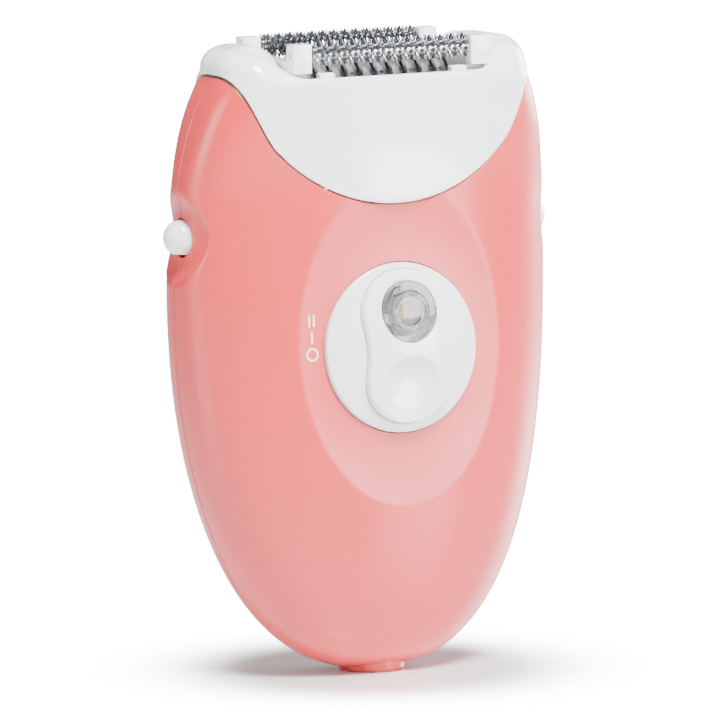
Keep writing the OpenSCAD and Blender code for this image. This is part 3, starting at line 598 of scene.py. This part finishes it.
rings, heights = [stadium(0.0)], [dome((stadium(0.0) ** 2).sum(-1)) - 0.35]
for a in np.linspace(0.0, math.pi / 2, 9):
    ring = stadium(0.03 + 0.3 * (1 - math.cos(a)))
    base, crest = dome((ring ** 2).sum(-1)), insert_top(ring)
    rings.append(ring)
    heights.append(base + (crest - base) * (0.1 + 0.9 * math.sin(a)))
inner = stadium(0.33)
for share in np.linspace(1, 0, 72)[1:]:
    rings.append(inner * share + np.array([0, -1.5]) * (1 - share))
    heights.append(insert_top(rings[-1]))
flat, up = np.array(rings), np.array(heights)
shape = np.array([list(on_dial(float(x), float(y), float(h)))
                  for (x, y), h in zip(flat.reshape(-1, 2), up.reshape(-1))])
shape = shape.reshape(flat.shape[0], flat.shape[1], 3)
insert = tidy(lattice("dial_insert_pad", shape, close_cols=True), angle=50)
work = bmesh.new()
work.from_mesh(insert.data)
edges = [e for e in work.edges if e.is_boundary]
bmesh.ops.contextual_create(work, geom=edges)
bmesh.ops.recalc_face_normals(work, faces=work.faces)
work.to_mesh(insert.data)
work.free()
cut(insert, [rod("window_hole", on_dial(0, WINDOW_UP, -2), on_dial(0, WINDOW_UP, 12), HOLE_R, 128)])
tidy(insert, outward=False, merge=0.0005, angle=50)
# The insert is the same gloss white with a slightly cooler, more open pearl.
insert_white = moulded("gloss_white_abs_cool", "#F6F6F7", 0.14, scale=300.0, bump=0.01, spread=0.015,
                       Coat_Weight=0.5, Coat_Roughness=0.05, Subsurface_Weight=0.08)
fit(insert, insert_white, "dial", "white_gloss", "dial_insert")


def clear(name, color, roughness, ior, milk):
    """A clear moulded plastic with a faint ripple. milk below 1 makes it slightly cloudy."""
    material, tree, shader = start_material(name, color, roughness, Transmission_Weight=milk, IOR=ior)
    where = add(tree, "ShaderNodeTexCoord")
    wave = add(tree, "ShaderNodeTexNoise", {"Vector": where.outputs["Object"], "Scale": 350.0})
    grain = add(tree, "ShaderNodeBump", {"Height": wave.outputs["Fac"], "Strength": 0.02, "Distance": 0.00005})
    tree.links.new(grain.outputs["Normal"], shader.inputs["Normal"])
    return material


def lens_top(r):
    """Height of the window's face: slightly domed, with a fine raised ring."""
    return 3.9 - 0.012 * r * r + 0.1 * math.exp(-((r - 3.3) / 0.35) ** 2)


lens = [(r, lens_top(r)) for r in np.linspace(0, 5.3, 40)]
lens += [(5.48, lens_top(5.4) - 0.12), (WINDOW_R, lens_top(5.4) - 0.35)]
lens += [(WINDOW_R, 0.25), (4.4, 0.25), (4.3, 0.6), (4.0, 2.2), (3.3, 2.75), (0, 2.9)]
window = lathe("lamp_window", np.array(lens), lambda x, y, z: on_dial(x, y + WINDOW_UP, z), 128)
# Polished clear acrylic.
fit(window, clear("polished_clear_acrylic", "#FDFEFE", 0.02, 1.49, 0.97), "dial", "clear_window", "led_window")

SWING = math.radians(10)
lamp_x, lamp_y = WINDOW_UP * math.sin(SWING), WINDOW_UP * math.cos(SWING)


def at_lamp(x, y, z):
    """A point given from the lamp's own axis, which stays put while the dial turns."""
    return on_dial(x + lamp_x, y + lamp_y, z)


LAMP_R = 2.5
bulb = [(LAMP_R * math.sin(a), -0.3 + LAMP_R * math.cos(a)) for a in np.linspace(0, math.pi / 2, 20)]
bulb += [(LAMP_R, -3.3), (2.9, -3.3), (2.9, -4.3), (0, -4.3)]
# Clear epoxy casting with a trace of yellow.
epoxy = clear("clear_cast_epoxy", "#FDFBF0", 0.04, 1.5, 0.97)
fit(lathe("lamp_bulb", np.array(bulb), at_lamp, 64), epoxy, "grip", "lamp", "led")
# Plated steel frame inside the lamp, and the yellow phosphor on its chip.
lamp_steel = metal("plated_lamp_frame", "#C9CBCC", 0.3)
cup = np.array([(0, -1.9), (0.45, -1.9), (0.95, -1.25), (1.05, -1.25), (1.05, -2.4), (0.5, -2.9), (0.5, -4.1),
                (0, -4.1)])
fit(lathe("lamp_cup", cup, lambda x, y, z: at_lamp(x + 0.55, y, z), 32), lamp_steel, "grip", "steel")
post = rounded([(0, -1.3, 0), (0.5, -1.3, 0.15), (0.5, -4.1, 0), (0, -4.1, 0)])
fit(lathe("lamp_post", post, lambda x, y, z: at_lamp(x - 1.15, y, z), 24), lamp_steel, "grip", "steel")
phosphor = moulded("yellow_phosphor_resin", "#E8C45A", 0.5, scale=3000.0)
dot = np.array([(0, -1.55), (0.4, -1.6), (0.62, -1.75), (0, -1.75)])
fit(lathe("lamp_chip", dot, lambda x, y, z: at_lamp(x + 0.55, y, z), 24), phosphor, "grip", "lamp")
seat = np.array([(2.95, -4.4), (2.95, -3.7), (4.3, -3.7), (4.3, -4.4), (2.95, -4.4)])
fit(lathe("lamp_seat", seat, at_lamp, 48), white_abs, "grip", "white_gloss")
# Natural acetal, waxy and slightly clouded.
acetal = moulded("natural_acetal", "#E9E4D6", 0.35, bump=0.04, Subsurface_Weight=0.1)
finish_nodes(acetal, "dial_spindle", "crown_gear", "transfer_pinion", "idler_gear", "drum_gear")

# ---------------------------------------------------------------------------
# Release buttons: gloss-white ABS domes with their latch arms, and the wound
# spring steel behind them.
# ---------------------------------------------------------------------------
def softened(name, node, width=0.2, angle=35, clean=1.0):
    """A detailed stand-in made from a CAD node's shape, with small moulded radii on its edges."""
    mesh = cad[node].data.copy()
    mesh.name = name
    piece = bpy.data.objects.new(name, mesh)
    bpy.context.scene.collection.objects.link(piece)
    work = bmesh.new()
    work.from_mesh(mesh)
    bmesh.ops.remove_doubles(work, verts=work.verts, dist=0.004 * MM)
    if clean:
        bmesh.ops.dissolve_limit(work, angle_limit=math.radians(clean), verts=work.verts, edges=work.edges)
    work.to_mesh(mesh)
    work.free()
    bevel = piece.modifiers.new("moulded_radius", "BEVEL")
    bevel.width = width * MM
    bevel.segments = 3
    bevel.limit_method = "ANGLE"
    bevel.angle_limit = math.radians(angle)
    bevel.use_clamp_overlap = True
    settle(piece)
    piece.data.shade_smooth()
    piece.data.set_sharp_from_angle(angle=math.radians(40))
    return piece


for hand in ("left", "right"):
    fit(softened("button_" + hand + "_dome", "release_button_" + hand, 0.12), white_abs, "button_" + hand,
        "white_gloss", "release_button_" + hand)
# Bright drawn spring wire and bright machined steel.
bright_steel = metal("bright_drawn_steel", "#B9BCC0", 0.22, (6.0, 1.0, 1.0))
finish_nodes(bright_steel, "button_spring_left", "button_spring_right", "chassis_screws", "motor_shaft",
             "crown_axle", "idler_pin", "roller_axle_front", "roller_axle_rear", "drum_axle", "clamp_rods")

# ---------------------------------------------------------------------------
# Head cap: one gloss-white ABS moulding. A round tongue covers the front and
# the rear, two lobes rise at the sides, and a window opens onto the rollers.
# ---------------------------------------------------------------------------
HEAD_Y = 1.5
CAP_RISE, CAP_WALL, CAP_EDGE, CAP_TOP = 0.25, 1.8, 0.35, 114.6
# The rim's height in the middle, the lobes' rise, and where the lobes start, run and drop at the flanks.
RIM_Z, LOBE_RISE, LOBE_X, LOBE_RUN, CREST_X, DROP_RUN, DROP = 108.15, 6.35, 14, 11, 25, 9.5, 6
# Half size of the opening over the rollers, and the round of the lip about it.
OPENING_X, OPENING_Y, LIP_ROUND = 20.4, 11.3, 0.5


def cap_point(angle, z, inset):
    """A point of the cap's wall: angle runs the whole way round from the right flank."""
    n = level_n(z)
    x = (half_w(np.minimum(z, 109)) + 0.5 - inset) * spow(np.cos(angle), 2 / n)
    y = (depth(z, np.sign(np.sin(angle))) + CAP_RISE - inset) * spow(np.sin(angle), 2 / n)
    return np.stack([x, bow_y(z) + y, z + 0 * angle], -1)


def cap_high(x, y):
    """Top of the cap: low in the middle, two lobes at the sides that start further out at the front."""
    ax = np.abs(x)
    delay = 3.5 * ease((-y - 1) / 7) + 1.5 * ease((y - 7) / 7)
    peak = LOBE_RISE - 2.3 * ease((-y - 1) / 9) - 1.2 * ease((y - 4) / 9)
    drop = DROP * (1 - np.sqrt(np.clip(1 - ((ax - CREST_X) / DROP_RUN) ** 2, 0, 1)))
    return RIM_Z + peak * ease((ax - LOBE_X - delay) / LOBE_RUN) - np.where(ax > CREST_X, drop, 0)


share = np.arange(0, 361) / 360
quarter = (share - 0.12 * np.sin(2 * math.pi * share))[:-1:4]
around = np.concatenate([k + quarter for k in range(4)]) * math.pi / 2
low_z, high_z = np.full_like(around, 80.0), np.full_like(around, CAP_TOP)
z_low = solve_up(low_z, high_z, lambda z: z > cap_low(cap_point(around, z, 0)[..., 0]))
z_top = solve_up(np.maximum(z_low, 100.0), high_z, lambda z: z > cap_high(*cap_point(around, z, 0)[..., :2].T))
edge_x = np.abs(cap_point(around, z_top, 0)[..., 0])
fillet = np.minimum(0.8 + 3.0 * ease((edge_x - 17) / 8), (z_top - z_low) * 0.8)
rows = []
for d in (0.0, 0.04, 0.1, 0.2, CAP_EDGE):
    rows.append(cap_point(around, z_low + d, float(lip(d, CAP_EDGE))))
for t in np.linspace(0, 1, 34)[1:]:
    rows.append(cap_point(around, z_low + CAP_EDGE + (z_top - fillet - z_low - CAP_EDGE) * t, 0))
for a in np.linspace(0, math.pi / 2, 12)[1:]:
    ring = cap_point(around, z_top - fillet + fillet * math.sin(a), 0)
    solid = cap_point(around, z_top - fillet, fillet * (1 - math.cos(a)))
    ring[..., :2] = solid[..., :2]
    rows.append(ring)
crown = rows[-1]
reach = (crown[..., :2] - [0, HEAD_Y]) / [OPENING_X, OPENING_Y]
reach = reach / ((np.abs(reach) ** 8).sum(-1) ** (1 / 8))[:, None]
rim_at = reach * [OPENING_X, OPENING_Y] + [0, HEAD_Y]
lip_at = reach * [OPENING_X + LIP_ROUND, OPENING_Y + LIP_ROUND] + [0, HEAD_Y]
for t in np.linspace(0, 1, 16)[1:]:
    flat = crown[..., :2] * (1 - t) + lip_at * t
    shift = crown[..., 2] - cap_high(*crown[..., :2].T)
    rows.append(np.concatenate([flat, (cap_high(*flat.T) + shift * (1 - ease(t)))[:, None]], -1))
lip_z = rows[-1][..., 2]
for a in np.linspace(0, math.pi / 2, 6)[1:]:
    flat = lip_at + (rim_at - lip_at) * math.sin(a)
    rows.append(np.concatenate([flat, (lip_z - LIP_ROUND * (1 - math.cos(a)))[:, None]], -1))
deep = np.maximum(lip_z - 4.0, z_low + 0.4)
for t in (0.3, 1.0):
    rows.append(np.concatenate([rim_at, (lip_z - LIP_ROUND + (deep - lip_z + LIP_ROUND) * t)[:, None]], -1))
under = np.minimum(deep, z_top - 1.6)
for t in np.linspace(0, 1, 14):
    rows.append(cap_point(around, under + (z_low + 0.3 - under) * t, CAP_WALL))
rows.append(cap_point(around, z_low, 1.5))
cap = lattice("head_cap_moulding", np.array(rows), close_rows=True, close_cols=True)
fit(tidy(cap, angle=50), white_abs, "head", "white_gloss", "head_cap")

# ---------------------------------------------------------------------------
# Roller carrier: one white ABS moulding with two end plates whose arms hold the
# roller axles; two small guide tabs stand behind the cap's front rim.
# ---------------------------------------------------------------------------
carrier = softened("roller_carrier_moulding", "roller_carrier", 0.3)
fit(carrier, white_abs, "head", "white_gloss", "roller_carrier")
for name, x in (("guide_tab_left", -13.2), ("guide_tab_right", 13.6)):
    corners = rounded([(x - 1.5, 104.5, 0.1), (x - 1.5, 109.0, 0.5), (x + 1.5, 109.0, 0.5),
                       (x + 1.5, 104.5, 0.1)])
    slices = [np.stack([corners[:, 0], np.full(len(corners), y), corners[:, 1]], -1)
              for y in (-9.6, -9.6, -8.2, -8.2)]
    middle = slices[0].mean(0) * [1, 0, 1]
    slices[0] = slices[0] * [0, 1, 0] + middle
    slices[3] = slices[3] * [0, 1, 0] + middle
    fit(tidy(lattice(name, np.array(slices), close_cols=True)), white_abs, "head", "white_gloss")

# ---------------------------------------------------------------------------
# Massage rollers: chrome-plated rods set with rows of short pointed studs, one
# in front of the tweezer drum and one behind it.
# ---------------------------------------------------------------------------
def stud_group(name):
    """Geometry nodes that set staggered rings of studs round an axis along X, on top of the core mesh."""
    group = bpy.data.node_groups.new(name, "GeometryNodeTree")
    face = group.interface
    face.new_socket("Core", in_out="INPUT", socket_type="NodeSocketGeometry")
    for label, kind in (("Rings", "Int"), ("Per Ring", "Int"), ("Length", "Float"), ("Radius", "Float"),
                        ("Stud Foot", "Float"), ("Stud Tip", "Float"), ("Stud Height", "Float"), ("Seed", "Int"),
                        ("Centre", "Vector"), ("Finish", "Material")):
        face.new_socket(label, in_out="INPUT", socket_type="NodeSocket" + kind)
    face.new_socket("Geometry", in_out="OUTPUT", socket_type="NodeSocketGeometry")
    given = add(group, "NodeGroupInput").outputs

    def do(operation, a, b=0.0):
        return add(group, "ShaderNodeMath", {0: a, 1: b}, operation=operation).outputs["Value"]

    count = do("MULTIPLY", given["Rings"], given["Per Ring"])
    line = add(group, "GeometryNodeMeshLine", {"Count": count, "Offset": (0.0, 0.0, 0.0)})
    index = add(group, "GeometryNodeInputIndex").outputs["Index"]
    ring = do("FLOOR", do("DIVIDE", do("ADD", index, 0.1), given["Per Ring"]))
    place_in_ring = do("SUBTRACT", index, do("MULTIPLY", ring, given["Per Ring"]))
    stagger = do("MULTIPLY", do("MODULO", ring, 2.0), 0.5)
    angle = do("DIVIDE", do("MULTIPLY", do("ADD", place_in_ring, stagger), 2 * math.pi), given["Per Ring"])
    share = do("DIVIDE", do("ADD", ring, 0.5), given["Rings"])
    along = do("MULTIPLY", do("SUBTRACT", share, 0.5), given["Length"])
    across = do("MULTIPLY", do("COSINE", angle), given["Radius"])
    up = do("MULTIPLY", do("SINE", angle), given["Radius"])
    spot = add(group, "ShaderNodeCombineXYZ", {"X": along, "Y": across, "Z": up})
    moved = add(group, "ShaderNodeVectorMath", {0: spot.outputs["Vector"], 1: given["Centre"]}, operation="ADD")
    points = add(group, "GeometryNodeSetPosition", {"Geometry": line.outputs["Mesh"],
                                                    "Position": moved.outputs["Vector"]})
    lean = add(group, "ShaderNodeCombineXYZ", {"X": do("SUBTRACT", angle, math.pi / 2), "Y": 0.0, "Z": 0.0})
    stud = add(group, "GeometryNodeMeshCone", {"Vertices": 10, "Radius Top": given["Stud Tip"],
                                               "Radius Bottom": given["Stud Foot"], "Depth": given["Stud Height"]})
    size = add(group, "FunctionNodeRandomValue", {"Seed": given["Seed"]}, data_type="FLOAT")
    size.inputs[2].default_value = 0.88
    size.inputs[3].default_value = 1.0
    studs = add(group, "GeometryNodeInstanceOnPoints", {
        "Points": points.outputs["Geometry"], "Instance": stud.outputs["Mesh"],
        "Rotation": lean.outputs["Vector"], "Scale": size.outputs[1]})
    joined = add(group, "GeometryNodeJoinGeometry")
    group.links.new(given["Core"], joined.inputs["Geometry"])
    group.links.new(studs.outputs["Instances"], joined.inputs["Geometry"])
    real = add(group, "GeometryNodeRealizeInstances", {"Geometry": joined.outputs["Geometry"]})
    coated = add(group, "GeometryNodeSetMaterial", {"Geometry": real.outputs["Geometry"],
                                                    "Material": given["Finish"]})
    add(group, "NodeGroupOutput", {"Geometry": coated.outputs["Geometry"]})
    return group


def set_studs(piece, **values):
    """Puts the stud nodes on a piece with their inputs, and turns the result into plain mesh."""
    step = piece.modifiers.new("studs", "NODES")
    step.node_group = studs_on_rod
    for item in studs_on_rod.interface.items_tree:
        key = item.name.replace(" ", "_")
        if item.in_out == "INPUT" and key in values:
            step[item.identifier] = values[key]
    settle(piece)
    piece.data.shade_smooth()
    piece.data.set_sharp_from_angle(angle=math.radians(35))
    return piece


studs_on_rod = stud_group("studs_on_rod")
# Bright chrome plating, mirror-like with a little haze between the studs.
chrome = metal("bright_chrome_plate", "#A0A2A5", 0.11, bump=0.03)
ROLLER_GAP, ROLLER_Z, ROD_R, ROD_HALF, BORE_R, DRUM_Z = 9.5, 112.4, 1.5, 15.8, 0.66, 104.6
for name, node, y, seed in (("massage_rod_front", "massage_roller_front", HEAD_Y - ROLLER_GAP, 4),
                            ("massage_rod_rear", "massage_roller_rear", HEAD_Y + ROLLER_GAP, 9)):
    core = rounded([(BORE_R, -ROD_HALF, 0), (ROD_R, -ROD_HALF, 0.2), (ROD_R, ROD_HALF, 0.2),
                    (BORE_R, ROD_HALF, 0)])
    rodded = lathe(name, core, lambda x, y_, z, y=y: (z, y + x, ROLLER_Z + y_), 48)
    set_studs(rodded, Rings=28, Per_Ring=10, Length=0.0314, Radius=0.00142, Stud_Foot=0.0005, Stud_Tip=0.0002,
              Stud_Height=0.00088, Seed=seed, Centre=(0.0, y * MM, ROLLER_Z * MM), Finish=chrome)
    fit(rodded, chrome, "roller_" + name.split("_")[-1], "chrome", node)

# ---------------------------------------------------------------------------
# Tweezer drum: a light-grey grooved core with rows of low bumps, and the pairs
# of blanked steel discs that close on the hairs.
# ---------------------------------------------------------------------------
# Moulded light-grey ABS, semi-matt.
drum_grey = moulded("moulded_grey_abs", "#B9BABA", 0.32)
bands = softened("tweezer_drum_core", "drum_core", 0.1)
set_studs(bands, Rings=10, Per_Ring=9, Length=0.03, Radius=0.0052, Stud_Foot=0.00052, Stud_Tip=0.00028,
          Stud_Height=0.0007, Seed=2, Centre=(-0.001075, HEAD_Y * MM, DRUM_Z * MM), Finish=drum_grey)
fit(bands, drum_grey, "drum", "drum_grey", "drum_core")
# Blanked and tumbled stainless steel.
stainless = metal("tumbled_stainless_steel", "#B4B6B9", 0.28, (8.0, 1.0, 1.0))
finish_nodes(stainless, "fixed_tweezers", "moving_tweezers")

# ---------------------------------------------------------------------------
# Inside the grip: circuit board and its parts, the motor, the gear chassis and
# the bearings. They show only where the head is lifted.
# ---------------------------------------------------------------------------
# Green solder mask over glass-epoxy board.
finish_nodes(moulded("green_solder_mask_board", "#3F6B48", 0.3, scale=200.0, bump=0.1), "circuit_board")
# Dark moulded epoxy of the board's parts.
finish_nodes(moulded("black_moulded_epoxy", "#2B2B2D", 0.45), "board_parts")
# Glass-filled grey nylon, dull with a visible flow.
finish_nodes(moulded("glass_filled_grey_nylon", "#CFCDC8", 0.42, bump=0.08), "gear_chassis")
# Drawn zinc-plated can.
finish_nodes(metal("zinc_plated_drawn_steel", "#A9ACB0", 0.3, (1.0, 1.0, 0.2)), "motor_can")
# Sintered ferrite, sooty and rough.
finish_nodes(moulded("sintered_ferrite", "#4B4B4E", 0.6, scale=1500.0, bump=0.15), "motor_magnets")
# Oil-filled sintered bronze.
bronze = metal("sintered_bronze", "#B08D57", 0.42, scale=2500.0, bump=0.12)
finish_nodes(bronze, "motor_bushes", "chassis_bushes", "drum_bushes")
# Enamelled copper windings: fine turns run round the armature.
winding = metal("enamelled_copper_winding", "#9A5B35", 0.3, (0.1, 0.1, 6.0), scale=700.0, bump=0.3)
finish_nodes(winding, "motor_armature")
